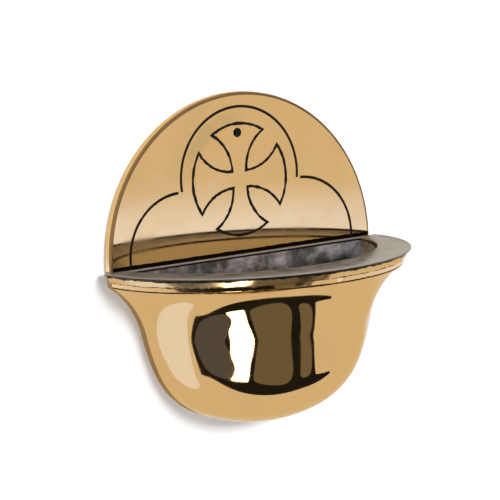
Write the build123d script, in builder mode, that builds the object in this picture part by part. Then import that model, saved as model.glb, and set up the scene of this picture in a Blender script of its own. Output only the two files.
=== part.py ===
from build123d import *
import os
from math import cos, radians, sin

# A small holy-water font that hangs on a wall: a flat backplate with an engraved
# trefoil and cross, a half-round bell-shaped bowl screwed to it from behind, and a
# lift-out metal liner for the water.
#
# Millimetres.  X runs to the right, Y into the wall and Z up.  The origin is on the
# wall face, in the middle, at the height of the bowl's rim.

# ---- driving dimensions -------------------------------------------------------

# backplate
PLATE_THICKNESS = 4.6
PLATE_TOP_Z = 79.6
PLATE_BEVEL = 1.2          # round the arched top
JOINT_BEVEL = 0.5          # round the outline that the bowl sits on
WALL_SCREW_HOLE_RADIUS = 2.35
UPPER_HOLE_Z = 59.8
LOWER_HOLE_Z = -15.0       # inside the bowl, hidden by the liner
LOWER_HOLE_SINK_RADIUS = 4.5

# bell profile of the bowl, as tangent arcs from the lowest point out to the rim
BOWL_BOTTOM_Z = -82.8
BASE_RADIUS = 73.0
BASE_ANGLE = 25.8
HAUNCH_RADIUS = 44.0
HAUNCH_ANGLE = 42.3
SIDE_RADIUS = 111.0
SIDE_ANGLE = 10.2
FLARE_RADIUS = 41.0
FLARE_ANGLE = 44.3

# bowl wall and stepped rim
BOWL_WALL = 2.5
BOWL_STRAIGHT = 3.0        # straight run between the half round and the plate
RIM_TOP_RADIUS = 79.6
RIM_BAND_RADIUS = 77.8     # foot of the sloping upper band
RIM_BAND_Z = -4.8
RIM_NECK_RADIUS = 76.9     # narrow lower band, set in by a small step
RIM_NECK_Z = -7.0
RIM_GROOVE_RADIUS = 75.6   # fine groove between the rim and the flare
RIM_GROOVE_Z = -7.4

# lugs inside the bowl, tapped for the screws that hold it to the plate
LUG_RADIUS = 3.0
LUG_DEPTH = 9.0
LUG_REACH = 12.0           # how far a lug runs outwards, into the wall
UPPER_LUG = (64.5, -14.5)
LOWER_LUG = (42.0, -56.0)
THREAD_RADIUS = 1.5
THREAD_DEPTH = 8.0
CLEARANCE_HOLE_RADIUS = 1.7
SCREW_HEAD_RADIUS = 3.0
SCREW_REACH = 7.0          # into the lug
SCREW_SLOT_WIDTH = 0.8
SCREW_SLOT_DEPTH = 0.7
SINK_ANGLE = 90.0

# liner: a thin D-shaped cup with a flat flange that rests on the bowl's rim
FLANGE_THICKNESS = 1.2
FLANGE_RADIUS = 80.6
FLANGE_GAP = 0.3           # between the flange's back edge and the plate
FLANGE_ROUND = 0.4
LINER_WALL = 1.2
MOUTH_RADIUS = 69.5
MOUTH_AXIS_SETBACK = 6.5   # the mouth's centre lies this far behind the plate's front
BACK_STRIP_WIDTH = 3.2     # from the plate's front to the inside of the back wall
LINER_KNEE = (59.0, -14.0)
LINER_FLOOR_RADIUS = 46.0
LINER_FLOOR_Z = -40.8
KNEE_ROUND = 25.0
FLOOR_ROUND = 12.0

# engraved lines, filled with black enamel
LINE_WIDTH = 1.4
GROOVE_DEPTH = 0.8
ENAMEL_DEPTH = 0.7
ARCH_RADIUS = 34.3
ARCH_CENTRE_Z = 38.3
ARCH_DROP_ANGLE = 7.0      # the arch runs on below its centre by this much
LOBE_RADIUS = 30.2
LOBE_CENTRE = (35.4, 3.7)
LOBE_START_ANGLE = 88.7
CROSS_CENTRE_Z = 36.8
CROSS_RADIUS = 27.5
CROSS_TIP_ANGLE = 33.0     # from an arm's axis to its tips
CROSS_CORNER = 4.1         # inner corners, from the cross's centre lines
CROSS_SAGITTA = 2.9        # how far an arm's sides curve in

# ---- planes and axes ----------------------------------------------------------

WALL = Plane.XZ
FRONT = WALL.offset(PLATE_THICKNESS)
WALL_SIDE = Plane(origin=(0, 0, 0), x_dir=(-1, 0, 0), z_dir=(0, 1, 0))  # seen from the wall
BOWL_BACK = WALL_SIDE.offset(-PLATE_THICKNESS)
BOWL_CENTRE_PLANE = FRONT.offset(BOWL_STRAIGHT)
LINER_CENTRE_PLANE = FRONT.offset(-MOUTH_AXIS_SETBACK)
RIM_PLANE = Plane.XY
DOWN = (0, 0, -1)

BOWL_AXIS = Axis(BOWL_CENTRE_PLANE.origin, DOWN)
LINER_AXIS = Axis(LINER_CENTRE_PLANE.origin, DOWN)
LUG_POINTS = [
    (side * x, z)
    for x, z in (UPPER_LUG, LOWER_LUG)
    for side in (-1, 1)
]
LUG_POINTS_FROM_WALL = [(-x, z) for x, z in LUG_POINTS]


# ---- shapes shared by several pieces ------------------------------------------

def bell_curve(inset):
    """The bell profile, or its parallel curve inside it; gives its two end points."""
    base = JernArc((0, BOWL_BOTTOM_Z + inset), (1, 0), BASE_RADIUS - inset, BASE_ANGLE)
    haunch = JernArc(base @ 1, base % 1, HAUNCH_RADIUS - inset, HAUNCH_ANGLE)
    side = JernArc(haunch @ 1, haunch % 1, SIDE_RADIUS - inset, SIDE_ANGLE)
    flare = JernArc(side @ 1, side % 1, FLARE_RADIUS + inset, -FLARE_ANGLE)
    return base @ 0, flare @ 1


def bowl_outside(plane, both_sides=False):
    """Half of the bowl's outline, or all of it, with the stepped rim."""
    with BuildSketch(plane) as outline:
        with BuildLine():
            lowest, flare_end = bell_curve(0)
            Polyline(
                flare_end,
                (RIM_GROOVE_RADIUS, RIM_GROOVE_Z),
                (RIM_NECK_RADIUS, RIM_NECK_Z),
                (RIM_NECK_RADIUS, RIM_BAND_Z),
                (RIM_BAND_RADIUS, RIM_BAND_Z),
                (RIM_TOP_RADIUS, -FLANGE_THICKNESS),
                (0, -FLANGE_THICKNESS),
                lowest,
            )
        make_face()
        if both_sides:
            mirror(about=Plane.YZ)
    return outline.sketch


def bowl_inside(plane, both_sides=False):
    """Half of the bowl's hollow, or all of it."""
    with BuildSketch(plane) as outline:
        with BuildLine():
            lowest, flare_end = bell_curve(BOWL_WALL)
            above_flare = (flare_end.X, -FLANGE_THICKNESS)
            Polyline(flare_end, above_flare, (0, -FLANGE_THICKNESS), lowest)
        make_face()
        if both_sides:
            mirror(about=Plane.YZ)
    return outline.sketch


def half_round(profile):
    """A half round in front of the plate, with a short straight run back to it."""
    revolve(profile(BOWL_CENTRE_PLANE), axis=BOWL_AXIS, revolution_arc=180)
    extrude(profile(FRONT, both_sides=True), amount=BOWL_STRAIGHT)


def liner_round(wall):
    """The liner's full round, as its hollow grown by the wall's thickness."""
    knee_radius, knee_z = LINER_KNEE
    with BuildSketch(LINER_CENTRE_PLANE) as outline:
        with BuildLine():
            side = FilletPolyline(
                (0, LINER_FLOOR_Z - wall),
                (LINER_FLOOR_RADIUS + wall, LINER_FLOOR_Z - wall),
                (knee_radius + wall, knee_z),
                (MOUTH_RADIUS + wall, 0),
                radius=[FLOOR_ROUND + wall, KNEE_ROUND + wall],
            )
            Polyline(side @ 1, (0, 0), side @ 0)
        make_face()
    revolve(outline.sketch, axis=LINER_AXIS)


def cross_outline():
    """Four flared arms round a centre, each with concave sides and a curved end."""
    tip_x = CROSS_RADIUS * sin(radians(CROSS_TIP_ANGLE))
    tip_z = CROSS_RADIUS * cos(radians(CROSS_TIP_ANGLE))
    arm_points = (
        (CROSS_CORNER, CROSS_CORNER),
        (tip_x, tip_z),
        (0, CROSS_RADIUS),
        (-tip_x, tip_z),
        (-CROSS_CORNER, CROSS_CORNER),
    )
    with BuildSketch() as outline:
        with BuildLine():
            for arm in range(4):
                foot, tip, crown, far_tip, far_foot = [
                    Vector(*point).rotate(Axis.Z, 90 * arm) for point in arm_points
                ]
                SagittaArc(foot, tip, CROSS_SAGITTA)
                ThreePointArc(tip, crown, far_tip)
                SagittaArc(far_tip, far_foot, CROSS_SAGITTA)
        make_face()
    return outline.face()


# ---- engraved lines -----------------------------------------------------------

with BuildSketch(FRONT) as arch_path:
    with BuildLine():
        CenterArc((0, ARCH_CENTRE_Z), ARCH_RADIUS, -ARCH_DROP_ANGLE, 180 + 2 * ARCH_DROP_ANGLE)
    trace(line_width=LINE_WIDTH)

with BuildSketch(FRONT) as right_lobe_path:
    with BuildLine():
        lobe = CenterArc(LOBE_CENTRE, LOBE_RADIUS, 0, LOBE_START_ANGLE)
        Line(lobe @ 0, (LOBE_CENTRE[0] + LOBE_RADIUS, 0))
    trace(line_width=LINE_WIDTH)

with BuildSketch(FRONT) as left_lobe_path:
    mirror(right_lobe_path.sketch_local, about=Plane.YZ)

with BuildSketch(FRONT) as cross_path:
    with Locations((0, CROSS_CENTRE_Z)):
        add(offset(cross_outline(), amount=LINE_WIDTH / 2, mode=Mode.PRIVATE))
        add(
            offset(cross_outline(), amount=-LINE_WIDTH / 2, mode=Mode.PRIVATE),
            mode=Mode.SUBTRACT,
        )

ENGRAVED = {
    "arch_line": arch_path,
    "left_lobe_line": left_lobe_path,
    "right_lobe_line": right_lobe_path,
    "cross_line": cross_path,
}


# ---- backplate ----------------------------------------------------------------

with BuildPart() as backplate:
    with BuildSketch(WALL):
        with BuildLine():
            shoulder = bell_curve(0)[1]
            mirror(about=Plane.YZ)
            ThreePointArc(shoulder, (0, PLATE_TOP_Z), (-shoulder.X, shoulder.Y))
        make_face()
    extrude(amount=PLATE_THICKNESS)

    front_edges = backplate.faces().sort_by(Axis.Y)[0].edges()
    arch_edge = front_edges.sort_by(Axis.Z)[-1]
    chamfer(arch_edge, PLATE_BEVEL)
    rim_edges = backplate.faces().sort_by(Axis.Y)[0].edges().sort_by(Axis.Z)[:-1]
    chamfer(rim_edges, JOINT_BEVEL)

    for path in ENGRAVED.values():
        extrude(path.sketch, amount=-GROOVE_DEPTH, mode=Mode.SUBTRACT)

    with Locations(FRONT):
        with Locations((0, UPPER_HOLE_Z)):
            Hole(WALL_SCREW_HOLE_RADIUS)
        with Locations((0, LOWER_HOLE_Z)):
            CounterSinkHole(
                WALL_SCREW_HOLE_RADIUS,
                LOWER_HOLE_SINK_RADIUS,
                counter_sink_angle=SINK_ANGLE,
            )
    with Locations(WALL_SIDE):
        with Locations(*LUG_POINTS_FROM_WALL):
            CounterSinkHole(
                CLEARANCE_HOLE_RADIUS,
                SCREW_HEAD_RADIUS,
                counter_sink_angle=SINK_ANGLE,
            )

backplate.part.label = "backplate"


# ---- enamel in the engraved lines ---------------------------------------------

def enamel_line(name, path):
    """Enamel at the bottom of a groove, a little below the plate's face."""
    with BuildPart() as enamel:
        extrude(path.sketch, amount=-GROOVE_DEPTH)
        extrude(path.sketch, amount=-(GROOVE_DEPTH - ENAMEL_DEPTH), mode=Mode.SUBTRACT)
    enamel.part.label = name
    return enamel


enamels = [enamel_line(name, path) for name, path in ENGRAVED.items()]


# ---- bowl ---------------------------------------------------------------------

with BuildPart() as bowl_hollow:
    half_round(bowl_inside)
    for x, z in LUG_POINTS:
        with BuildSketch(FRONT):
            with Locations((x, z)):
                Circle(LUG_RADIUS)
                outward = (Align.MIN if x > 0 else Align.MAX, Align.CENTER)
                Rectangle(LUG_REACH, 2 * LUG_RADIUS, align=outward)
        extrude(amount=LUG_DEPTH, mode=Mode.SUBTRACT)

with BuildPart() as bowl:
    half_round(bowl_outside)
    add(bowl_hollow.part, mode=Mode.SUBTRACT)
    with Locations(BOWL_BACK):
        with Locations(*LUG_POINTS_FROM_WALL):
            Hole(THREAD_RADIUS, depth=THREAD_DEPTH)

bowl.part.label = "bowl"


# ---- liner --------------------------------------------------------------------

with BuildPart() as liner_hollow:
    liner_round(0)
    split(bisect_by=FRONT.offset(BACK_STRIP_WIDTH), keep=Keep.TOP)

with BuildPart() as liner:
    liner_round(LINER_WALL)
    split(bisect_by=FRONT.offset(BACK_STRIP_WIDTH - LINER_WALL), keep=Keep.TOP)
    with BuildSketch(RIM_PLANE):
        with Locations(BOWL_CENTRE_PLANE.origin):
            Circle(FLANGE_RADIUS)
            Rectangle(
                2 * FLANGE_RADIUS,
                BOWL_STRAIGHT - FLANGE_GAP,
                align=(Align.CENTER, Align.MIN),
            )
        with Locations((0, -PLATE_THICKNESS - FLANGE_GAP)):
            Rectangle(
                2 * FLANGE_RADIUS,
                FLANGE_RADIUS,
                align=(Align.CENTER, Align.MIN),
                mode=Mode.SUBTRACT,
            )
    extrude(amount=-FLANGE_THICKNESS)
    outer_edges = liner.faces().sort_by(Axis.Z)[-1].outer_wire().edges()
    fillet(outer_edges, FLANGE_ROUND)
    add(liner_hollow.part, mode=Mode.SUBTRACT)

liner.part.label = "liner"


# ---- screws through the plate into the lugs -----------------------------------

with BuildPart() as bowl_screws:
    head_depth = SCREW_HEAD_RADIUS - THREAD_RADIUS
    for x, z in LUG_POINTS:
        with BuildSketch(WALL):
            with Locations((x, z)):
                Circle(THREAD_RADIUS)
        extrude(amount=PLATE_THICKNESS + SCREW_REACH)
        with BuildSketch(WALL):
            with Locations((x, z)):
                Circle(SCREW_HEAD_RADIUS)
        extrude(amount=head_depth, taper=SINK_ANGLE / 2)
        with BuildSketch(WALL):
            with Locations((x, z)):
                Rectangle(2 * SCREW_HEAD_RADIUS, SCREW_SLOT_WIDTH)
        extrude(amount=SCREW_SLOT_DEPTH, mode=Mode.SUBTRACT)

bowl_screws.part.label = "bowl_screws"


# ---- files --------------------------------------------------------------------

os.makedirs("parts", exist_ok=True)
for piece in (backplate, bowl, liner, bowl_screws, *enamels):
    export_step(piece.part, f"parts/{piece.part.label}.step")
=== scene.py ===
"""A wall-hung holy-water font in polished brass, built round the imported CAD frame.

The engraved backplate, the bell-shaped bowl and the lift-out liner are modelled again
here as fine, smooth meshes, because polished metal shows every facet.  The bowl screws
keep their CAD mesh.  Sizes are in millimetres, as in the CAD part; MM turns them into
Blender's metres.  The stage, the lamp and the camera are in metres.
"""
import math

import bmesh
import bpy
from mathutils import Matrix, Vector, noise


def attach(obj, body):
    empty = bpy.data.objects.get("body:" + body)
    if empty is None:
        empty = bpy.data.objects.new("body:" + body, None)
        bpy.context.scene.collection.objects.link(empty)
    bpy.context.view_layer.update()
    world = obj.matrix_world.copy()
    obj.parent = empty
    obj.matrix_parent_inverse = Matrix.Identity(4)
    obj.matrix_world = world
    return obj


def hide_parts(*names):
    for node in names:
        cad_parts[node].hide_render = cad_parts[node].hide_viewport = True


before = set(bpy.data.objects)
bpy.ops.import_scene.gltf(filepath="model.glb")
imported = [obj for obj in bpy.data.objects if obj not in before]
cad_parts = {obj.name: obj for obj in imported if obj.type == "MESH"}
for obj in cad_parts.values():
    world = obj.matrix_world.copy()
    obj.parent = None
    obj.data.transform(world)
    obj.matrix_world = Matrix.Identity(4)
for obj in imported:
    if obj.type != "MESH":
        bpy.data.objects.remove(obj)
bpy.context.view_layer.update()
MM = 0.001

# ---- sizes, in millimetres ----------------------------------------------------

PLATE_THICKNESS = 4.6
PLATE_TOP_Z = 79.6
PLATE_BEVEL = 1.2
JOINT_BEVEL = 0.5
HOLE_RADIUS = 2.35
UPPER_HOLE_Z = 59.8
LOWER_HOLE_Z = -15.0
LOWER_HOLE_SINK_RADIUS = 4.5

BOWL_BOTTOM_Z = -82.8
BELL_ARCS = ((73.0, 25.8), (44.0, 42.3), (111.0, 10.2), (41.0, -44.3))  # radius, degrees
BOWL_WALL = 2.5
BOWL_STRAIGHT = 3.0
RIM_TOP_RADIUS = 79.6
RIM_BAND = (77.8, -4.8)
RIM_STEP = (76.9, -4.8)
RIM_NECK = (76.9, -7.0)
RIM_GROOVE = (75.6, -7.4)

LUG_RADIUS = 3.0
LUG_DEPTH = 9.0
UPPER_LUG = (64.5, -14.5)
LOWER_LUG = (42.0, -56.0)
SCREW_HEAD_RADIUS = 3.0
CLEARANCE_HOLE_RADIUS = 1.7
THREAD_RADIUS = 1.5
THREAD_DEPTH = 8.0

FLANGE_THICKNESS = 1.2
FLANGE_RADIUS = 80.6
FLANGE_GAP = 0.3
LINER_WALL = 1.2
MOUTH_RADIUS = 69.5
MOUTH_AXIS_SETBACK = 6.5
BACK_STRIP_WIDTH = 3.2
LINER_KNEE = (59.0, -14.0)
LINER_FLOOR_RADIUS = 46.0
LINER_FLOOR_Z = -40.8
KNEE_ROUND = 25.0
FLOOR_ROUND = 12.0
FLANGE_ROUND = 0.4         # round the flange's outer edge and the mouth
MOUTH_LIP = (0.15, -0.12, 0.10)    # outwards, height and backwards, halfway round the mouth
MOUTH_LIP_BACK = 0.35      # how far the mouth's edge lies behind the back wall's inside

LINE_WIDTH = 1.4
GROOVE_DEPTH = 0.8
ENAMEL_SUNK = 0.1
ARCH_RADIUS = 34.3
ARCH_CENTRE_Z = 38.3
ARCH_DROP_ANGLE = 7.0
LOBE_RADIUS = 30.2
LOBE_CENTRE = (35.4, 3.7)
LOBE_START_ANGLE = 88.7
CROSS_CENTRE_Z = 36.8
CROSS_RADIUS = 27.5
CROSS_TIP_ANGLE = 33.0
CROSS_CORNER = 4.1
CROSS_SAGITTA = 2.9

FRONT_Y = -PLATE_THICKNESS
BOWL_AXIS_Y = FRONT_Y - BOWL_STRAIGHT
LINER_AXIS_Y = FRONT_Y + MOUTH_AXIS_SETBACK
ARC_STEPS = 160            # points round the half-round bowl and liner
SMOOTH_ANGLE = math.radians(32)
LUG_POINTS = [(side * x, z) for x, z in (UPPER_LUG, LOWER_LUG) for side in (-1, 1)]


# ---- outlines -----------------------------------------------------------------

def direction(azimuth, elevation):
    """A unit vector in degrees: azimuth 0 is straight in front, elevation 90 is up."""
    azimuth, elevation = math.radians(azimuth), math.radians(elevation)
    return Vector((
        math.sin(azimuth) * math.cos(elevation),
        -math.cos(azimuth) * math.cos(elevation),
        math.sin(elevation),
    ))


def arc_points(centre, radius, start, end, count):
    """Points on an arc, from angle start to angle end in degrees."""
    points = []
    for i in range(count + 1):
        a = math.radians(start + (end - start) * i / count)
        points.append((centre[0] + radius * math.cos(a), centre[1] + radius * math.sin(a)))
    return points


def arc_between(centre, start, end, count):
    """Points on the shorter arc between two points about a centre."""
    first = math.atan2(start[1] - centre[1], start[0] - centre[0])
    last = math.atan2(end[1] - centre[1], end[0] - centre[0])
    turn = (last - first + math.pi) % (2 * math.pi) - math.pi
    radius = math.dist(centre, start)
    first = math.degrees(first)
    return arc_points(centre, radius, first, first + math.degrees(turn), count)


def bell_profile(inset=0.0, step=1.5):
    """The bowl's bell curve from its lowest point out to the rim, as tangent arcs."""
    x, z, heading = 0.0, BOWL_BOTTOM_Z + inset, 0.0
    points = [(x, z)]
    for radius, degrees in BELL_ARCS:
        side = 1 if degrees > 0 else -1
        radius -= side * inset
        centre = (x - side * radius * math.sin(heading), z + side * radius * math.cos(heading))
        start = math.degrees(heading) - side * 90
        count = max(6, round(radius * math.radians(abs(degrees)) / step))
        points += arc_points(centre, radius, start, start + degrees, count)[1:]
        x, z = points[-1]
        heading += math.radians(degrees)
    return points


def rounded(points, radii, steps=4):
    """A polyline with its inner corners rounded; radii has one entry for each of them."""
    result = [points[0]]
    for before, corner, after, radius in zip(points, points[1:], points[2:], radii):
        a = (Vector(before) - Vector(corner)).normalized()
        b = (Vector(after) - Vector(corner)).normalized()
        half = a.angle(b) / 2
        reach = radius / math.tan(half)
        start = Vector(corner) + a * reach
        end = Vector(corner) + b * reach
        centre = Vector(corner) + (a + b).normalized() * (radius / math.sin(half))
        result += arc_between(centre, start, end, steps)
    result.append(points[-1])
    return result


# ---- meshes -------------------------------------------------------------------

def add_mesh(name, verts_mm, faces):
    """A smooth-shaded object from millimetre points, with hard edges where it turns."""
    mesh = bpy.data.meshes.new(name)
    mesh.from_pydata([tuple(c * MM for c in v) for v in verts_mm], [], faces)
    mesh.validate()
    obj = bpy.data.objects.new(name, mesh)
    bpy.context.scene.collection.objects.link(obj)
    tidy_mesh(obj)
    return obj


def tidy_mesh(obj):
    """Merges doubled points, turns the faces outwards and sets smooth shading."""
    mesh = obj.data
    bm = bmesh.new()
    bm.from_mesh(mesh)
    bmesh.ops.remove_doubles(bm, verts=bm.verts, dist=1e-6)
    bmesh.ops.dissolve_degenerate(bm, edges=bm.edges, dist=1e-7)
    bmesh.ops.recalc_face_normals(bm, faces=bm.faces)
    bm.to_mesh(mesh)
    bm.free()
    shade(mesh)


def shade(mesh):
    """Smooth shading, with hard edges where the surface turns and truly flat fronts and backs."""
    mesh.set_sharp_from_angle(angle=SMOOTH_ANGLE)
    for polygon in mesh.polygons:
        polygon.use_smooth = abs(polygon.normal.y) < 0.9999


def bridge(loops, closed):
    """Points and quads that join a list of loops of equal length."""
    size = len(loops[0])
    verts = [v for loop in loops for v in loop]
    faces = []
    spans = size if closed else size - 1
    for row in range(len(loops) - 1):
        for i in range(spans):
            j = (i + 1) % size
            low, high = row * size, (row + 1) * size
            faces.append((low + i, low + j, high + j, high + i))
    return verts, faces


def prism(name, outline, y_front, y_back):
    """A straight-sided solid between two depths, from an outline of (x, z) points."""
    loops = [[(x, y, z) for x, z in outline] for y in (y_front, y_back)]
    verts, faces = bridge(loops, closed=True)
    size = len(outline)
    faces.append(tuple(range(size)))
    faces.append(tuple(range(2 * size - 1, size - 1, -1)))
    return add_mesh(name, verts, faces)


def turned(name, centre, stations, count=64):
    """A solid turned about an axis along Y, from (radius, y) stations."""
    loops = []
    for radius, y in stations:
        circle = arc_points(centre, radius, 0, 360, count)[:-1]
        loops.append([(x, y, z) for x, z in circle])
    verts, faces = bridge(loops, closed=True)
    last = len(verts)
    faces.append(tuple(range(count)))
    faces.append(tuple(range(last - 1, last - count - 1, -1)))
    return add_mesh(name, verts, faces)


def combine(obj, others, operation):
    """Joins other solids to a solid, or cuts them out of it, and removes them."""
    for other in others:
        modifier = obj.modifiers.new("combine", "BOOLEAN")
        modifier.operation = operation
        modifier.solver = "EXACT"
        modifier.object = other
    depsgraph = bpy.context.evaluated_depsgraph_get()
    result = bpy.data.meshes.new_from_object(obj.evaluated_get(depsgraph))
    obj.modifiers.clear()
    obj.data = result
    for other in others:
        bpy.data.objects.remove(other)
    shade(obj.data)


# ---- engraved lines -----------------------------------------------------------

def hand_cut(path, seed, wander, closed=False):
    """The outline of an engraved line along a path, a little uneven as if cut by hand."""
    half = LINE_WIDTH / 2
    count = len(path)
    left, right = [], []
    for i, (x, z) in enumerate(path):
        here = Vector((x, z))
        before = Vector(path[(i - 1) % count]) if closed or i > 0 else here
        after = Vector(path[(i + 1) % count]) if closed or i < count - 1 else here
        arriving = (here - before).normalized()
        leaving = (after - here).normalized()
        along = (arriving + leaving).normalized()
        mitre = 1 / max(0.35, along.dot(leaving) if i < count - 1 or closed else 1)
        across = Vector((-along.y, along.x)) * mitre
        wobble = wander * noise.noise(Vector((x * 0.35, z * 0.35, seed)))
        ragged = 0.75 * wander * noise.noise(Vector((x * 2.6, z * 2.6, seed + 5)))
        widths = (half + wobble + ragged, half + wobble - ragged)
        left.append(tuple(Vector((x, z)) + across * widths[0]))
        right.append(tuple(Vector((x, z)) - across * widths[1]))
    return left, right


def arch_path():
    low, high = -ARCH_DROP_ANGLE, 180 + ARCH_DROP_ANGLE
    return arc_points((0, ARCH_CENTRE_Z), ARCH_RADIUS, low, high, 140)


def lobe_path(side):
    points = arc_points(LOBE_CENTRE, LOBE_RADIUS, LOBE_START_ANGLE, 0, 70)
    foot_x = LOBE_CENTRE[0] + LOBE_RADIUS
    points += [(foot_x, LOBE_CENTRE[1] * t) for t in (0.66, 0.33, 0.0)]
    return [(side * x, z) for x, z in points]


def sagitta_arc(start, end, sagitta, count):
    """An arc between two points that bulges to the left of the way it runs."""
    a, b = Vector(start), Vector(end)
    chord = (b - a).length
    radius = (chord * chord / 4 + sagitta * sagitta) / (2 * sagitta)
    across = Vector((-(b - a).y, (b - a).x)) / chord
    centre = (a + b) / 2 - across * (radius - sagitta)
    return arc_between(centre, a, b, count)


def clear_of_corners(points):
    """Drops the points next to both ends, so that a wide line can turn the corner there."""
    return [points[0]] + points[2:-2]


def cross_path():
    """A closed path round the cross: four flared arms with curved ends."""
    tip = math.radians(CROSS_TIP_ANGLE)
    tip_x, tip_z = CROSS_RADIUS * math.sin(tip), CROSS_RADIUS * math.cos(tip)
    foot = (CROSS_CORNER, CROSS_CORNER)
    arm = sagitta_arc(foot, (tip_x, tip_z), CROSS_SAGITTA, 24)
    end = arc_points((0, 0), CROSS_RADIUS, 90 - CROSS_TIP_ANGLE, 90 + CROSS_TIP_ANGLE, 32)
    back = sagitta_arc((-tip_x, tip_z), (-CROSS_CORNER, CROSS_CORNER), CROSS_SAGITTA, 24)
    sides = [point for side in (arm, end, back) for point in clear_of_corners(side)]
    points = []
    for quarter in range(4):
        a = math.radians(90 * quarter)
        for x, z in sides:
            points.append((x * math.cos(a) - z * math.sin(a), x * math.sin(a) + z * math.cos(a)))
    return [(x, z + CROSS_CENTRE_Z) for x, z in points]


def line_solid(name, path, seed, wander, closed, y_front, y_back):
    """A solid along an engraved line, between two depths in the plate."""
    left, right = hand_cut(path, seed, wander, closed)
    if not closed:
        return prism(name, left + right[::-1], y_front, y_back)
    loops = []
    for edge, y in ((left, y_front), (left, y_back), (right, y_back), (right, y_front)):
        loops.append([(x, y, z) for x, z in edge])
    loops.append(loops[0])
    verts, faces = bridge(loops, closed=True)
    return add_mesh(name, verts, faces)


ENGRAVED = {
    "arch_line": (arch_path(), 1, 0.05, False),
    "left_lobe_line": (lobe_path(-1), 2, 0.12, False),
    "right_lobe_line": (lobe_path(1), 3, 0.12, False),
    "cross_line": (cross_path(), 4, 0.34, True),
}


# ---- backplate ----------------------------------------------------------------

def plate_arch():
    """The radius of the plate's round top, and the height of its centre."""
    shoulder_x, shoulder_z = bell_profile()[-1]
    rise = PLATE_TOP_Z - shoulder_z
    radius = (shoulder_x ** 2 + rise ** 2) / (2 * rise)
    return radius, PLATE_TOP_Z - radius


def plate_outline():
    """The plate's outline: the bell curve on both sides under a round-arched top."""
    right = bell_profile()
    radius, centre_z = plate_arch()
    start = math.degrees(math.asin((right[-1][1] - centre_z) / radius))
    top = arc_points((0, centre_z), radius, start, 180 - start, 260)
    left = [(-x, z) for x, z in reversed(right[1:-1])]
    return right[:-1] + top + left


def inset_outline(outline, distance_at):
    """The outline moved inwards, by an amount that may depend on the height."""
    result = []
    count = len(outline)
    for i, (x, z) in enumerate(outline):
        before, after = Vector(outline[i - 1]), Vector(outline[(i + 1) % count])
        here = Vector((x, z))
        one = (here - before).normalized()
        two = (after - here).normalized()
        across = Vector((-(one + two).y, (one + two).x)).normalized()
        stretch = 1 / max(0.6, across.dot(Vector((-one.y, one.x))))
        result.append(tuple(here + across * distance_at(z) * stretch))
    return result


def hole_cutters():
    """The wall screws' holes, the lower one countersunk, and the bowl screws' holes."""
    sink = LOWER_HOLE_SINK_RADIUS
    lower_hole = (
        (sink + 1, FRONT_Y - 1),
        (HOLE_RADIUS, FRONT_Y + sink - HOLE_RADIUS),
        (HOLE_RADIUS, 1),
    )
    screw_hole = (
        (CLEARANCE_HOLE_RADIUS, FRONT_Y - 1),
        (CLEARANCE_HOLE_RADIUS, CLEARANCE_HOLE_RADIUS - SCREW_HEAD_RADIUS),
        (SCREW_HEAD_RADIUS + 1, 1),
    )
    cutters = [
        turned("cut_upper_hole", (0, UPPER_HOLE_Z), ((HOLE_RADIUS, FRONT_Y - 1), (HOLE_RADIUS, 1))),
        turned("cut_lower_hole", (0, LOWER_HOLE_Z), lower_hole),
    ]
    cutters += [turned("cut_screw_hole", point, screw_hole, 48) for point in LUG_POINTS]
    return cutters


def make_backplate():
    outline = plate_outline()
    shoulder_z = bell_profile()[-1][1]

    def bevel_at(z):
        return PLATE_BEVEL if z >= shoulder_z - 0.01 else JOINT_BEVEL

    loops = [[(x, 0.0, z) for x, z in outline]]
    steps = 5
    for i in range(steps + 1):
        a = math.radians(90 * i / steps)
        ring = inset_outline(outline, lambda z: bevel_at(z) * (1 - math.cos(a)))
        loops.append([
            (x, FRONT_Y + bevel_at(outline[n][1]) * (1 - math.sin(a)), z)
            for n, (x, z) in enumerate(ring)
        ])
    verts, faces = bridge(loops, closed=True)
    size = len(outline)
    last = len(verts)
    faces.append(tuple(range(size)))
    faces.append(tuple(range(last - 1, last - size - 1, -1)))
    plate = add_mesh("backplate_fine", verts, faces)

    cutters = []
    for name, (path, seed, wander, closed) in ENGRAVED.items():
        depth = FRONT_Y + GROOVE_DEPTH
        cutters.append(
            line_solid("cut_" + name, path, seed, wander, closed, FRONT_Y - 1, depth))
    cutters += hole_cutters()
    combine(plate, cutters, "DIFFERENCE")
    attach(plate, "font")
    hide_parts("backplate")
    return plate


def make_enamels():
    made = []
    for name, (path, seed, wander, closed) in ENGRAVED.items():
        enamel = line_solid(
            name + "_fill", path, seed, wander, closed,
            FRONT_Y + ENAMEL_SUNK, FRONT_Y + GROOVE_DEPTH)
        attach(enamel, "font")
        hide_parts(name)
        made.append(enamel)
    return made


# ---- bowl ---------------------------------------------------------------------

def bowl_profile():
    """The bowl's section, from the bottom up the outside, over the rim and back inside."""
    outside = bell_profile()
    inside = bell_profile(inset=BOWL_WALL)
    top = -FLANGE_THICKNESS
    inner_x = inside[-1][0]
    rim = rounded(
        [
            outside[-1], RIM_GROOVE, RIM_NECK, RIM_STEP, RIM_BAND,
            (RIM_TOP_RADIUS, top), (inner_x, top), inside[-1],
        ],
        radii=(0.12, 0.35, 0.15, 0.3, 0.4, 0.3),
    )
    return outside[:-1] + rim + inside[:-1][::-1]


def half_round(profile, axis_y, back_y):
    """A profile swept round the front from right to left, with a straight run each side."""
    loops = [[(r, back_y, z) for r, z in profile]]
    for i in range(ARC_STEPS + 1):
        a = math.pi * i / ARC_STEPS
        loops.append([(r * math.cos(a), axis_y - r * math.sin(a), z) for r, z in profile])
    loops.append([(-r, back_y, z) for r, z in profile])
    return loops


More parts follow.
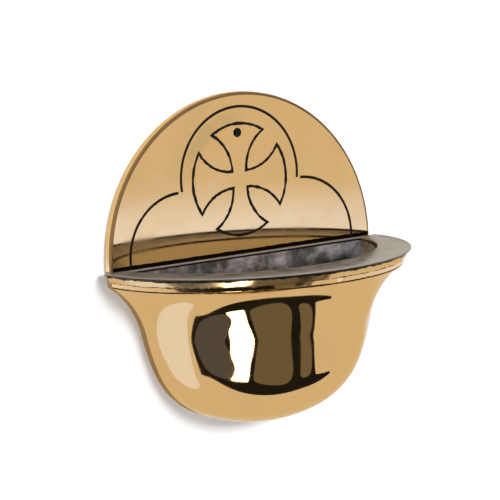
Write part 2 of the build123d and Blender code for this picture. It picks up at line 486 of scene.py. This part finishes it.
def lug_outline(point):
    """A lug's section: a half round facing inwards, run out to the middle of the wall."""
    x, z = point
    side = 1 if x > 0 else -1
    inward = arc_points((side * x, z), LUG_RADIUS, 90, 270, 24)
    middle = bell_profile(inset=BOWL_WALL / 2)
    outward = [(r, h) for r, h in middle if abs(h - z) < LUG_RADIUS]
    return [(side * r, h) for r, h in inward + outward]


def add_lugs(bowl):
    """Four tapped lugs inside the bowl, against its back."""
    lugs = [prism("lug", lug_outline(p), FRONT_Y - LUG_DEPTH, FRONT_Y) for p in LUG_POINTS]
    combine(bowl, lugs, "UNION")
    bore = ((THREAD_RADIUS, FRONT_Y - THREAD_DEPTH), (THREAD_RADIUS, FRONT_Y + 1))
    combine(bowl, [turned("tap", point, bore, 32) for point in LUG_POINTS], "DIFFERENCE")


def make_bowl():
    profile = bowl_profile()
    loops = half_round(profile, BOWL_AXIS_Y, FRONT_Y)
    verts, faces = bridge(loops, closed=True)
    size = len(profile)
    last = len(verts)
    faces.append(tuple(range(size - 1, -1, -1)))
    faces.append(tuple(range(last - size, last)))
    bowl = add_mesh("bowl_fine", verts, faces)
    add_lugs(bowl)
    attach(bowl, "font")
    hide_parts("bowl")
    return bowl


# ---- liner --------------------------------------------------------------------

def liner_ring(radius, z, back_y):
    """A D-shaped loop: an arc about the liner's axis, closed by a straight back."""
    behind = LINER_AXIS_Y - back_y
    half_width = math.sqrt(radius ** 2 - behind ** 2)
    first = math.degrees(math.asin(behind / radius))
    arc = arc_points((0, 0), radius, first, 180 - first, ARC_STEPS + 2)
    ring = [(x, LINER_AXIS_Y - y, z) for x, y in arc]
    return ring + back_line(-half_width, half_width, back_y, z)


def flange_ring(radius, z, back_y):
    """The flange's loop: a half round about the bowl's axis, run straight to the back."""
    arc = [(x, BOWL_AXIS_Y - y, z) for x, y in arc_points((0, 0), radius, 0, 180, ARC_STEPS)]
    ring = [(radius, back_y, z)] + arc + [(-radius, back_y, z)]
    return ring + back_line(-radius, radius, back_y, z)


def back_line(start, end, y, z, count=24):
    return [(start + (end - start) * i / count, y, z) for i in range(1, count)]


def liner_wall(grow):
    """The cup's section from the mouth down to the floor, grown by a wall's thickness."""
    knee_radius, knee_z = LINER_KNEE
    return rounded(
        [
            (MOUTH_RADIUS + grow, 0),
            (knee_radius + grow, knee_z),
            (LINER_FLOOR_RADIUS + grow, LINER_FLOOR_Z - grow),
            (20, LINER_FLOOR_Z - grow),
        ],
        radii=(KNEE_ROUND + grow, FLOOR_ROUND + grow),
        steps=14,
    )


def make_liner():
    inner_back = FRONT_Y - BACK_STRIP_WIDTH
    outer_back = inner_back + LINER_WALL
    flange_back = FRONT_Y - FLANGE_GAP
    top, under = 0.0, -FLANGE_THICKNESS
    edge = FLANGE_ROUND
    lip_out, lip_z, lip_back = MOUTH_LIP
    loops = []
    for r, z in reversed(liner_wall(0)):
        if z < -edge:
            loops.append(liner_ring(r, z, inner_back))
    loops.append(liner_ring(MOUTH_RADIUS + lip_out, lip_z, inner_back + lip_back))
    loops.append(liner_ring(MOUTH_RADIUS + edge, top, inner_back + MOUTH_LIP_BACK))
    for i in range(5):
        a = math.radians(22.5 * i)
        out = FLANGE_RADIUS - edge * (1 - math.sin(a))
        loops.append(flange_ring(out, top - edge * (1 - math.cos(a)), flange_back))
    for i in range(5):
        a = math.radians(22.5 * i)
        out = FLANGE_RADIUS - edge * (1 - math.cos(a))
        loops.append(flange_ring(out, under + edge * (1 - math.sin(a)), flange_back))
    for r, z in liner_wall(LINER_WALL):
        if z < under:
            loops.append(liner_ring(r, z, outer_back))
    verts, faces = bridge(loops, closed=True)
    size = len(loops[0])
    last = len(verts)
    faces.append(tuple(range(size - 1, -1, -1)))
    faces.append(tuple(range(last - size, last)))
    liner = add_mesh("liner_fine", verts, faces)
    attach(liner, "liner")
    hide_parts("liner")
    return liner


# ---- materials ----------------------------------------------------------------

def new_material(name):
    material = bpy.data.materials.new(name)
    material.use_nodes = True
    return material, Nodes(material.node_tree)


def tint(colour, numerator, denominator):
    """A colour scaled channel by channel by the ratio of two others."""
    return tuple(c * n / d for c, n, d in zip(colour[:3], numerator, denominator)) + (1,)


class Nodes:
    """A few short ways to add and join shader nodes."""

    def __init__(self, tree):
        self.tree = tree
        self.shader = tree.nodes.get("Principled BSDF")
        self.place = tree.nodes.new("ShaderNodeTexCoord").outputs["Object"]

    def add(self, kind, **inputs):
        node = self.tree.nodes.new("ShaderNode" + kind)
        for name, value in inputs.items():
            self.feed(node.inputs[name.replace("_", " ")], value)
        return node

    def feed(self, socket, value):
        if isinstance(value, bpy.types.NodeSocket):
            self.tree.links.new(value, socket)
        else:
            socket.default_value = value

    def scaled(self, x, y, z):
        """Object coordinates stretched along each axis, for streaks and brushing."""
        return self.add("Mapping", Vector=self.place, Scale=(x, y, z)).outputs["Vector"]

    def noise(self, scale, detail=3.0, roughness=0.5, vector=None):
        vector = vector or self.place
        node = self.add("TexNoise", Vector=vector, Scale=scale, Detail=detail, Roughness=roughness)
        return node.outputs["Fac"]

    def ramp(self, value, low, high, from_low, from_high):
        """Turns values between from_low and from_high into values between low and high."""
        node = self.add("MapRange", Value=value)
        node.interpolation_type = "SMOOTHSTEP"
        self.feed(node.inputs["From Min"], from_low)
        self.feed(node.inputs["From Max"], from_high)
        self.feed(node.inputs["To Min"], low)
        self.feed(node.inputs["To Max"], high)
        return node.outputs["Result"]

    def math(self, operation, one, two):
        node = self.tree.nodes.new("ShaderNodeMath")
        node.operation = operation
        self.feed(node.inputs[0], one)
        self.feed(node.inputs[1], two)
        return node.outputs[0]

    def mix(self, amount, one, two):
        node = self.tree.nodes.new("ShaderNodeMix")
        node.data_type = "RGBA"
        self.feed(node.inputs["Factor"], amount)
        self.feed(node.inputs[6], one)
        self.feed(node.inputs[7], two)
        return node.outputs[2]

    def millimetres(self):
        """Object X, Y and Z in millimetres."""
        split = self.add("SeparateXYZ", Vector=self.scaled(1 / MM, 1 / MM, 1 / MM))
        return split.outputs["X"], split.outputs["Y"], split.outputs["Z"]

    def distance(self, point):
        """Distance in the plate's plane from a point, in millimetres."""
        node = self.tree.nodes.new("ShaderNodeVectorMath")
        node.operation = "DISTANCE"
        self.feed(node.inputs[0], self.scaled(1 / MM, 0, 1 / MM))
        self.feed(node.inputs[1], point)
        return node.outputs["Value"]

    def near(self, point, radius):
        """One at a point, falling softly to nothing at a radius in millimetres."""
        return self.ramp(self.distance(point), 1, 0, radius * 0.4, radius)

    def bump(self, height, strength, distance, normal=None):
        node = self.add("Bump", Height=height, Strength=strength, Distance=distance)
        if normal:
            self.feed(node.inputs["Normal"], normal)
        return node.outputs["Normal"]


BRASS = (0.80, 0.54, 0.26, 1)
BRASS_TARNISH = (0.50, 0.30, 0.12, 1)
BRASS_CLOUD = (0.74, 0.50, 0.25, 1)
BRASS_GRAZING = (0.94, 0.83, 0.66, 1)
# dark brown satin brass: painted shade on the bevel, the lower sides and the border round the arch
SHADED_SATIN_BRASS = (0.34, 0.20, 0.09, 1)
# paler brass for the sides above the shoulder: painted light
LIT_SAWN_BRASS = (0.93, 0.64, 0.31, 1)
BRASS_PATCH = (0.62, 0.45, 0.22, 1)
# painted shade: near-black and brown for dark lines under and between parts and in recesses
SHADE_BLACK = (0.012, 0.009, 0.006, 1)
SHADE_BROWN = (0.16, 0.085, 0.035, 1)
SHADED_BORDER_WIDTH = 1.7         # mm of brown border round the arch, the bevel included: painted shade
DARK_PATCH_PLACE = (-15, 0, 58)       # between the cross and the arch, on the left
DARK_PATCH_REACH = 26

ALUMINIUM = (0.46, 0.43, 0.40, 1)
ALUMINIUM_PALE = (0.53, 0.50, 0.47, 1)
ALUMINIUM_GRAZING = (0.80, 0.78, 0.75, 1)
STAIN_DARK = (0.075, 0.073, 0.082, 1)
STAIN_PALE = (0.58, 0.55, 0.60, 1)
STAIN_RING = (0.10, 0.09, 0.085, 1)
WARM_FRONT_TONE = (0.62, 0.56, 0.42, 1)
ENAMEL = (0.002, 0.002, 0.002, 1)
ENAMEL_DUST = (0.012, 0.010, 0.008, 1)


def polished_brass(name, clean=BRASS, roughness=0.04, shade_painter=None):
    """Hand-polished brass: faint clouding, fine scratches and a few tarnish specks, with whatever
    painted shade and darker patches the function passed in adds.
    """
    material, nodes = new_material(name)
    clouds = nodes.ramp(nodes.noise(28, 4, 0.55), 0, 0.5, 0.46, 0.66)
    specks = nodes.ramp(nodes.noise(620, 3, 0.6), 0, 1, 0.66, 0.74)
    speck_zone = nodes.ramp(nodes.noise(22, 2, 0.5), 0, 0.7, 0.52, 0.66)
    specks = nodes.math("MULTIPLY", specks, speck_zone)
    colour = nodes.mix(clouds, clean, tint(clean, BRASS_CLOUD, BRASS))
    colour = nodes.mix(specks, colour, BRASS_TARNISH)
    scratches = nodes.noise(700, 2, 0.5, nodes.scaled(1.0, 9.0, 9.0))
    hairlines = nodes.ramp(scratches, 0, 1, 0.60, 0.72)
    dull = nodes.ramp(nodes.noise(45, 5, 0.6), roughness * 0.6, roughness * 2.2, 0.35, 0.75)
    dull = nodes.math("ADD", dull, nodes.math("MULTIPLY", hairlines, 0.05))
    dull = nodes.math("ADD", dull, nodes.math("MULTIPLY", specks, 0.35))
    if shade_painter:
        colour, dull = shade_painter(nodes, colour, dull)
    ripple = nodes.bump(nodes.noise(26, 1, 0.4), 0.25, 0.0001)
    normal = nodes.bump(hairlines, 0.05, 0.00001, ripple)
    shader = nodes.shader
    nodes.feed(shader.inputs["Base Color"], colour)
    nodes.feed(shader.inputs["Roughness"], dull)
    nodes.feed(shader.inputs["Normal"], normal)
    shader.inputs["Metallic"].default_value = 1.0
    shader.inputs["Specular Tint"].default_value = BRASS_GRAZING
    return material


def painted_shade_line(nodes, colour, dull, height, top, bottom, shade, ragged=0.45):
    """A ragged dark line between two heights in millimetres: painted shade."""
    ragged = nodes.ramp(nodes.noise(260, 3, 0.6), -ragged, ragged, 0.25, 0.75)
    level = nodes.math("ADD", height, ragged)
    below = nodes.ramp(level, 1, 0, top - 0.1, top + 0.1)
    above = nodes.ramp(level, 0, 1, bottom - 0.25, bottom + 0.1)
    amount = nodes.math("MULTIPLY", below, above)
    colour = nodes.mix(amount, colour, shade)
    dull = nodes.math("ADD", dull, nodes.math("MULTIPLY", amount, 0.4))
    return colour, dull


def bowl_shade_lines(nodes, colour, dull):
    """Painted shade: dark lines under the flange and in the two steps of the rim."""
    height = nodes.millimetres()[2]
    colour, dull = painted_shade_line(nodes, colour, dull, height, -1.0, -2.0, SHADE_BLACK)
    for step_z in (RIM_STEP[1], RIM_GROOVE[1]):
        colour, dull = painted_shade_line(
            nodes, colour, dull, height, step_z + 0.3, step_z - 0.15, SHADE_BROWN)
    return colour, dull


def plate_shade_and_patch(nodes, colour, dull):
    """On the front: painted shade in a brown border round the arch and in a dark line along the
    flange, and a darker patch left of the cross.
    """
    depth, height = nodes.millimetres()[1:]
    radius, centre_z = plate_arch()
    inner = radius - SHADED_BORDER_WIDTH
    border = nodes.ramp(nodes.distance((0, 0, centre_z)), 0, 1, inner, inner + 0.3)
    border = nodes.math("MULTIPLY", border, nodes.ramp(height, 0, 1, 0, 8))
    # a darker patch on the front, left of the cross and inside the arch
    patch = nodes.near(DARK_PATCH_PLACE, DARK_PATCH_REACH)
    patch = nodes.math("MULTIPLY", patch, nodes.ramp(nodes.noise(55, 3, 0.5), 0, 0.6, 0.40, 0.52))
    outside_cross = nodes.ramp(nodes.distance((0, 0, CROSS_CENTRE_Z)), 0, 1, 24, 29)
    inside_arch = nodes.ramp(nodes.distance((0, 0, ARCH_CENTRE_Z)), 1, 0, 31, 34)
    patch = nodes.math("MULTIPLY", patch, nodes.math("MULTIPLY", outside_cross, inside_arch))
    # painted shade: the border round the arch takes the dark brown satin brass
    shaded_front = nodes.mix(patch, nodes.mix(border, colour, SHADED_SATIN_BRASS), BRASS_PATCH)
    shaded_front_dull = nodes.math("ADD", dull, nodes.math("MULTIPLY", border, 0.25))
    # painted shade: a dark line where the liner meets the plate
    shaded_front, shaded_front_dull = painted_shade_line(nodes, shaded_front, shaded_front_dull, height, 1.9, -1.5, SHADE_BLACK, ragged=0.15)
    front = nodes.ramp(depth, 1, 0, FRONT_Y + 0.1, FRONT_Y + PLATE_BEVEL)
    return nodes.mix(front, colour, shaded_front), nodes.ramp(front, dull, shaded_front_dull, 0, 1)


def liner_metal(name, brightest=0.26, dullest=0.42):
    """Dull spun aluminium, water-stained on the cup, inside and out, and clean on the flange, with
    painted shade in a dark line just below the mouth, and warmer and paler towards the cup's front.
    """
    material, nodes = new_material(name)
    depth, height = nodes.millimetres()[1:]
    cup = nodes.ramp(height, 1, 0, -1.6, -0.4)
    blotches = nodes.ramp(nodes.noise(62, 5, 0.62), 0, 1, 0.40, 0.68)
    rings = nodes.ramp(nodes.noise(190, 4, 0.6, nodes.scaled(1, 1, 3)), 0, 0.35, 0.45, 0.62)
    stain = nodes.mix(blotches, STAIN_DARK, STAIN_PALE)
    stain = nodes.mix(rings, stain, STAIN_RING)
    # warmer and paler towards the front of the cup
    front = nodes.ramp(depth, 1, 0, -34, -18)
    stain = nodes.mix(front, stain, WARM_FRONT_TONE)
    clean = nodes.mix(nodes.noise(60, 3, 0.5), ALUMINIUM, ALUMINIUM_PALE)
    colour = nodes.mix(cup, clean, stain)
    # painted shade: a dark line just below the mouth's edge
    above_mouth_shade = nodes.ramp(height, 1, 0, -0.7, -0.3)
    mouth_shade = nodes.math("MULTIPLY", nodes.ramp(height, 0, 1, -1.7, -1.3), above_mouth_shade)
    colour = nodes.mix(mouth_shade, colour, SHADE_BLACK)
    dull = nodes.ramp(nodes.noise(120, 4, 0.6), brightest, dullest, 0.3, 0.7)
    normal = nodes.bump(nodes.noise(420, 3, 0.6), 0.12, 0.0001)
    shader = nodes.shader
    nodes.feed(shader.inputs["Base Color"], colour)
    nodes.feed(shader.inputs["Roughness"], dull)
    nodes.feed(shader.inputs["Normal"], normal)
    shader.inputs["Metallic"].default_value = 0.7
    shader.inputs["Specular Tint"].default_value = ALUMINIUM_GRAZING
    return material


def black_enamel_and_hole_shade(name):
    """Black filler, slightly uneven, dusty in places."""
    material, nodes = new_material(name)
    colour = nodes.mix(nodes.noise(300, 4, 0.6), ENAMEL, ENAMEL_DUST)
    nodes.feed(nodes.shader.inputs["Base Color"], colour)
    nodes.feed(nodes.shader.inputs["Roughness"], nodes.ramp(nodes.noise(200), 0.45, 0.7, 0.3, 0.7))
    nodes.feed(nodes.shader.inputs["Normal"], nodes.bump(nodes.noise(800, 2), 0.3, 0.00006))
    nodes.shader.inputs["Specular IOR Level"].default_value = 0.12
    return material


def dress(obj, *materials):
    obj.data.materials.clear()
    for material in materials:
        obj.data.materials.append(material)


# ---- build --------------------------------------------------------------------

plate = make_backplate()
enamels = make_enamels()
bowl = make_bowl()
liner = make_liner()

plate_brass = polished_brass("plate_brass", shade_painter=plate_shade_and_patch)
bowl_brass = polished_brass("bowl_brass", shade_painter=bowl_shade_lines)
shaded_bevel_brass = polished_brass("shaded_bevel_brass", SHADED_SATIN_BRASS, roughness=0.3)
lit_edge_brass = polished_brass("lit_edge_brass", LIT_SAWN_BRASS, roughness=0.16)
rim_brass = polished_brass("rim_brass", roughness=0.14, shade_painter=bowl_shade_lines)
seat_brass = polished_brass("seat_brass", roughness=0.14)
screw_brass = polished_brass("screw_brass", BRASS_CLOUD, roughness=0.2)
aluminium = liner_metal("liner_metal")
polished_aluminium = liner_metal("flange_edge_metal", brightest=0.06, dullest=0.14)
enamel_and_hole_shade = black_enamel_and_hole_shade("black_enamel_and_hole_shade")
dress(plate, plate_brass, shaded_bevel_brass, lit_edge_brass, enamel_and_hole_shade)
dress(bowl, bowl_brass, rim_brass, seat_brass)
dress(liner, aluminium, polished_aluminium)
for enamel in enamels:
    dress(enamel, enamel_and_hole_shade)
dress(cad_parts["bowl_screws"], screw_brass)


# the plate's material slots, in the order that dress() is given them
PLATE_FACE, PLATE_SHADED, PLATE_LIT_EDGE, PLATE_HOLE_SHADE = range(4)
SIDE_FACING = 0.12         # a face turned less than this to the front or back is a side
FRONT_FACING = 0.995
HOLE_FLAT_FACING = 0.9
LOWER_HOLE_REACH = 5.0     # mm, past the lower hole's sink
EDGE_REACH = 70.0          # mm, across plus up; nearer the middle are only the holes and grooves


def plate_light_and_shade_faces():
    """Painted light and shade: the bevel and the sides below the shoulder dull and dark brown, the
    sawn sides of the arch paler, and the holes' walls black.
    """
    for polygon in plate.data.polygons:
        x, y, z = polygon.center / MM
        facing = abs(polygon.normal.y)
        in_upper_hole = math.hypot(x, z - UPPER_HOLE_Z) < HOLE_RADIUS
        in_lower_hole = math.hypot(x, z - LOWER_HOLE_Z) < LOWER_HOLE_REACH
        behind_bevel = y > FRONT_Y + JOINT_BEVEL
        if in_upper_hole or in_lower_hole:
            flat = facing > HOLE_FLAT_FACING
            # painted shade: the holes' walls take the black enamel
            polygon.material_index = PLATE_FACE if flat else PLATE_HOLE_SHADE
        elif facing < SIDE_FACING and behind_bevel and abs(x) + abs(z) > EDGE_REACH:
            # painted light on the sides above the shoulder, painted shade on those below
            polygon.material_index = PLATE_LIT_EDGE if z > 0 else PLATE_SHADED
        elif SIDE_FACING < facing < FRONT_FACING and y < FRONT_Y + PLATE_BEVEL + 0.1:
            polygon.material_index = PLATE_SHADED


def finish_rim():
    """The rim's sloping band is less polished than the bowl, and so is the seat on its top."""
    for polygon in bowl.data.polygons:
        if RIM_BAND[1] < polygon.center.z / MM < -FLANGE_THICKNESS + 0.1:
            polygon.material_index = 2 if polygon.normal.z > 0.5 else 1


def finish_flange_edge():
    """The flange's turned outer edge is polished; the rest of the liner is satin."""
    for polygon in liner.data.polygons:
        x, y, z = polygon.center / MM
        from_axis = math.hypot(x, min(0, y - BOWL_AXIS_Y))
        if from_axis > FLANGE_RADIUS - 0.5 and z > -FLANGE_THICKNESS:
            polygon.material_index = 1


plate_light_and_shade_faces()
finish_rim()
finish_flange_edge()


# ---- stage --------------------------------------------------------------------

FLOOR_Z = -0.35
WALL_Y = 0.0004            # a hair behind the plate's back
STAGE_SIZE = 4.0
WALL_HOLE_INSET = 4.0      # the wall is open behind the plate, so its back shows from behind
HOLE_BACKING_RADIUS = 7.0  # but a dark disc behind the screw hole, painted shade, shows through the plate
PALE = (0.90, 0.90, 0.90, 1)
DARK = (0.003, 0.003, 0.003, 1)


def stage_mesh(name, mesh, material):
    obj = bpy.data.objects.new(name, mesh)
    bpy.context.scene.collection.objects.link(obj)
    dress(obj, material)
    return obj


def stage_polygon(name, corners, material):
    mesh = bpy.data.meshes.new(name)
    mesh.from_pydata(corners, [], [tuple(range(len(corners)))])
    return stage_mesh(name, mesh, material)


def paint(name, colour, one_sided=False):
    material, nodes = new_material(name)
    nodes.shader.inputs["Base Color"].default_value = colour
    nodes.shader.inputs["Roughness"].default_value = 0.9
    nodes.shader.inputs["Specular IOR Level"].default_value = 0.1
    if one_sided:
        behind = nodes.add("NewGeometry").outputs["Backfacing"]
        mixed = nodes.add("MixShader", Fac=behind)
        nodes.feed(mixed.inputs[1], nodes.shader.outputs[0])
        nodes.feed(mixed.inputs[2], nodes.add("BsdfTransparent").outputs[0])
        nodes.feed(nodes.tree.nodes["Material Output"].inputs["Surface"], mixed.outputs[0])
    return material


def hide_from(obj, *rays):
    for ray in rays:
        setattr(obj, "visible_" + ray, False)


def make_floor():
    s, z = STAGE_SIZE, FLOOR_Z
    corners = [(-s, -s, z), (s, -s, z), (s, s, z), (-s, s, z)]
    floor = stage_polygon("floor", corners, paint("floor_paint", PALE))
    hide_from(floor, "glossy")


def make_wall():
    """A pale wall, seen from the front only, with an opening behind the plate."""
    s = STAGE_SIZE
    bm = bmesh.new()
    border = [bm.verts.new(c) for c in (
        (-s, WALL_Y, FLOOR_Z), (s, WALL_Y, FLOOR_Z), (s, WALL_Y, s), (-s, WALL_Y, s))]
    opening = inset_outline(plate_outline(), lambda z: WALL_HOLE_INSET)
    hole = [bm.verts.new((x * MM, WALL_Y, z * MM)) for x, z in opening[::3]]
    for loop in (border, hole):
        for one, two in zip(loop, loop[1:] + loop[:1]):
            bm.edges.new((one, two))
    bmesh.ops.triangle_fill(bm, use_beauty=True, use_dissolve=False, edges=bm.edges)
    turn_to_front(bm)
    mesh = bpy.data.meshes.new("wall")
    bm.to_mesh(mesh)
    bm.free()
    wall = stage_mesh("wall", mesh, paint("wall_paint", PALE, one_sided=True))
    hide_from(wall, "shadow", "diffuse", "glossy")
    # painted shade: a dark disc behind the screw hole, seen through the plate
    circle = arc_points((0, UPPER_HOLE_Z), HOLE_BACKING_RADIUS, 0, 360, 32)[:-1]
    corners = [(x * MM, WALL_Y, z * MM) for x, z in circle]
    hole_shade_disc = stage_polygon("screw_hole_shade_disc", corners, paint("screw_hole_painted_shade", DARK, one_sided=True))
    hide_from(hole_shade_disc, "shadow", "diffuse", "glossy")


def turn_to_front(bm):
    for face in bm.faces:
        face.normal_update()
        if face.normal.y > 0:
            face.normal_flip()


def glow(name, colour, strength):
    material, nodes = new_material(name)
    light = nodes.add("Emission", Color=(*colour, 1), Strength=strength)
    nodes.feed(nodes.tree.nodes["Material Output"].inputs["Surface"], light.outputs[0])
    return material


CARD_Z = -0.10               # height of the lying cards
RIM_CARD_GAP = 0.5           # mm outside the flange
RIM_CARD_HEIGHTS = (-0.3, 1.0)     # mm
NEARLY_BLACK = (0.016, 0.016, 0.016)
COOL_DARK = (0.105, 0.11, 0.14)
WINDOW = (1.0, 1.0, 0.97)
WINDOW_STRENGTH = 4.5
WARM_BROWN = (0.18, 0.16, 0.12)
PALE_BROWN = (0.20, 0.18, 0.14)
PALE_BLUE = (0.97, 1.08, 1.40)
OVER_DARK = 0.0002           # cards that lie on the dark card
OVER_ALL = 0.0004


def only_mirrored(card):
    hide_from(card, "camera", "diffuse", "transmission", "volume_scatter", "shadow")


def cut_corners(points):
    """A closed outline with each corner cut off twice, which leaves smooth curves."""
    for _ in range(2):
        cut = []
        for one, two in zip(points, points[1:] + points[:1]):
            cut += [Vector(one).lerp(two, 0.25), Vector(one).lerp(two, 0.75)]
        points = [tuple(point) for point in cut]
    return points


def lying_card(name, plan, colour, strength=1.0, lift=0.0):
    """A flat card under the font, from (x, y) corners, which only polished surfaces see."""
    corners = [(x, y, CARD_Z + lift) for x, y in cut_corners(plan)]
    only_mirrored(stage_polygon(name, corners, glow(name + "_glow", colour, strength)))


def standing_card(name, azimuths, elevations, colour, distance):
    """A card standing in front of the font, between two azimuths and two elevations."""
    corners = [
        direction(azimuths[a], elevations[e]) * distance
        for a, e in ((0, 0), (1, 0), (1, 1), (0, 1))
    ]
    only_mirrored(stage_polygon(name, corners, glow(name + "_glow", colour, 1.0)))


def rim_card():
    """A low dark strip round the flange, which draws a dark line along its image in the plate."""
    loops = []
    for z in RIM_CARD_HEIGHTS:
        arc = arc_points((0, -BOWL_AXIS_Y), FLANGE_RADIUS + RIM_CARD_GAP, 0, 180, 90)
        loops.append([(x * MM, -y * MM, z * MM) for x, y in arc])
    verts, faces = bridge(loops, closed=False)
    mesh = bpy.data.meshes.new("card_rim")
    mesh.from_pydata(verts, [], faces)
    only_mirrored(stage_mesh("card_rim", mesh, glow("card_rim_glow", NEARLY_BLACK, 1.0)))


def make_cards():
    """What the polished bowl mirrors: flat cards, from (x, y) corners in metres.

    From the camera they give the bowl its dark patch with a bright strip and brown panels,
    and a pale oval beside it.  From other sides the same cards show as other shapes.
    """
    lying_card(
        "card_dark",
        [(-0.40, -0.004), (-0.160, -0.017), (-0.120, -0.021), (-0.096, -0.022), (-0.096, -0.022),
         (-0.086, -0.037), (-0.066, -0.043), (-0.047, -0.047), (-0.018, -0.056), (0.012, -0.066),
         (0.030, -0.067), (0.062, -0.070), (0.062, -0.070), (0.062, -0.076), (0.062, -0.076),
         (0.037, -0.085), (0.037, -0.088), (0.040, -0.105), (0.045, -0.126), (0.054, -0.152),
         (0.10, -0.40), (-0.40, -0.40)],
        NEARLY_BLACK)
    lying_card(
        "card_left",
        [(-0.34, -0.018), (-0.150, -0.027), (-0.110, -0.031), (-0.094, -0.037), (-0.078, -0.050),
         (-0.070, -0.058), (-0.078, -0.073), (-0.094, -0.080), (-0.112, -0.092), (-0.34, -0.14)],
        COOL_DARK, lift=OVER_DARK)
    lying_card(
        "card_window",
        [(-0.068, -0.056), (-0.050, -0.068), (-0.050, -0.068), (-0.056, -0.080), (-0.064, -0.094),
         (-0.069, -0.108), (-0.076, -0.125), (-0.082, -0.139), (-0.110, -0.190), (-0.170, -0.150),
         (-0.122, -0.104), (-0.100, -0.084), (-0.082, -0.078), (-0.074, -0.070), (-0.070, -0.058)],
        WINDOW, strength=WINDOW_STRENGTH, lift=OVER_ALL)
    lying_card(
        "card_floor",
        [(-0.042, -0.072), (-0.020, -0.073), (-0.004, -0.077), (0.001, -0.092), (0.001, -0.110),
         (-0.004, -0.150), (-0.010, -0.40), (-0.120, -0.40), (-0.078, -0.150), (-0.070, -0.129),
         (-0.062, -0.108), (-0.055, -0.092), (-0.049, -0.078)],
        WARM_BROWN, lift=OVER_DARK)
    lying_card(
        "card_right",
        [(0.012, -0.086), (0.026, -0.086), (0.034, -0.104), (0.039, -0.126), (0.046, -0.160),
         (0.060, -0.40), (0.020, -0.40), (0.020, -0.160), (0.016, -0.130), (0.013, -0.105)],
        PALE_BROWN, lift=OVER_DARK)
    lying_card(
        "card_pale",
        [(-0.072, -0.014), (-0.100, -0.010), (-0.150, -0.010), (-0.30, 0.0), (-0.30, 0.14),
         (-0.16, 0.12), (-0.108, 0.058), (-0.080, 0.022), (-0.068, 0.002)],
        PALE_BLUE)
    standing_card("card_dark_room", (0, 70), (1.5, 18), NEARLY_BLACK, 1.8)
    rim_card()


LAMP_PLACE = (0.22, -1.53, 0.40)
LAMP_TARGET = (0, 0, 0)
LAMP_SIZE = 0.5
LAMP_WATTS = 22

WHITE = (1.0, 1.0, 1.0, 1)
ROOM = (0.82, 0.77, 0.67, 1)
HORIZON = (1.02, 1.16, 1.60, 1)
SOFT_LIGHT = 0.5
BACKDROP = 0.92
HORIZON_TOP = (-7.3, -6.5)         # degrees of elevation between which the band fades upwards
HORIZON_FOOT = (-18, -12)          # and downwards


def make_world():
    """Soft white light.  Polished surfaces mirror a plain warm room, paler at its foot."""
    world = bpy.data.worlds.new("studio")
    bpy.context.scene.world = world
    world.use_nodes = True
    nodes = Nodes(world.node_tree)
    path = nodes.add("LightPath").outputs
    looking = nodes.tree.nodes.new("ShaderNodeTexCoord").outputs["Generated"]
    rise = nodes.add("SeparateXYZ", Vector=looking).outputs["Z"]
    top = [math.sin(math.radians(a)) for a in HORIZON_TOP]
    foot = [math.sin(math.radians(a)) for a in HORIZON_FOOT]
    below = nodes.ramp(rise, 1, 0, *top)
    above = nodes.ramp(rise, 0, 1, *foot)
    room = nodes.mix(nodes.math("MULTIPLY", below, above), ROOM, HORIZON)
    soft = nodes.tree.nodes["Background"]
    soft.inputs["Color"].default_value = WHITE
    soft.inputs["Strength"].default_value = SOFT_LIGHT
    mirrored = nodes.add("Background", Color=room, Strength=1.0)
    backdrop = nodes.add("Background", Color=WHITE, Strength=BACKDROP)
    lit = nodes.add("MixShader", Fac=path["Is Glossy Ray"])
    nodes.feed(lit.inputs[1], soft.outputs[0])
    nodes.feed(lit.inputs[2], mirrored.outputs[0])
    seen = nodes.add("MixShader", Fac=path["Is Camera Ray"])
    nodes.feed(seen.inputs[1], lit.outputs[0])
    nodes.feed(seen.inputs[2], backdrop.outputs[0])
    nodes.feed(nodes.tree.nodes["World Output"].inputs["Surface"], seen.outputs[0])


def make_lamp(name, place, target, size, watts):
    data = bpy.data.lights.new(name, "AREA")
    data.shape = "DISK"
    data.size = size
    data.energy = watts
    lamp = bpy.data.objects.new(name, data)
    bpy.context.scene.collection.objects.link(lamp)
    lamp.location = place
    lamp.rotation_mode = "QUATERNION"
    lamp.rotation_quaternion = (Vector(target) - Vector(place)).to_track_quat("-Z", "Y")
    hide_from(lamp, "camera", "glossy")


CAMERA_AZIMUTH = -33.7       # degrees from straight in front, to the left
CAMERA_ELEVATION = 7.9
CAMERA_ROLL = -3.2
CAMERA_DISTANCE = 1.444
CAMERA_LENS = 211.0          # mm, on a 36 mm sensor
CAMERA_SHIFT = (0.012, 0.0064)


def make_camera():
    """A long lens, turned slightly on its axis, looking a little down from the left."""
    azimuth = math.radians(CAMERA_AZIMUTH)
    roll = math.radians(CAMERA_ROLL)
    back = direction(CAMERA_AZIMUTH, CAMERA_ELEVATION)
    right = Vector((math.cos(azimuth), math.sin(azimuth), 0))
    up = back.cross(right)
    rolled_right = right * math.cos(roll) + up * math.sin(roll)
    rolled_up = up * math.cos(roll) - right * math.sin(roll)
    camera_data = bpy.data.cameras.new("camera")
    camera_data.sensor_width = 36
    camera_data.lens = CAMERA_LENS
    camera_data.shift_x, camera_data.shift_y = CAMERA_SHIFT
    camera_data.clip_end = 50
    camera = bpy.data.objects.new("camera", camera_data)
    bpy.context.scene.collection.objects.link(camera)
    camera.location = Vector((0, FRONT_Y * MM, 0)) + back * CAMERA_DISTANCE
    camera.rotation_mode = "QUATERNION"
    camera.rotation_quaternion = Matrix((rolled_right, rolled_up, back)).transposed().to_quaternion()
    bpy.context.scene.camera = camera


make_floor()
make_wall()
make_cards()
make_world()
make_lamp("key_lamp", LAMP_PLACE, LAMP_TARGET, LAMP_SIZE, LAMP_WATTS)
make_camera()
bpy.context.scene.view_settings.view_transform = "Standard"
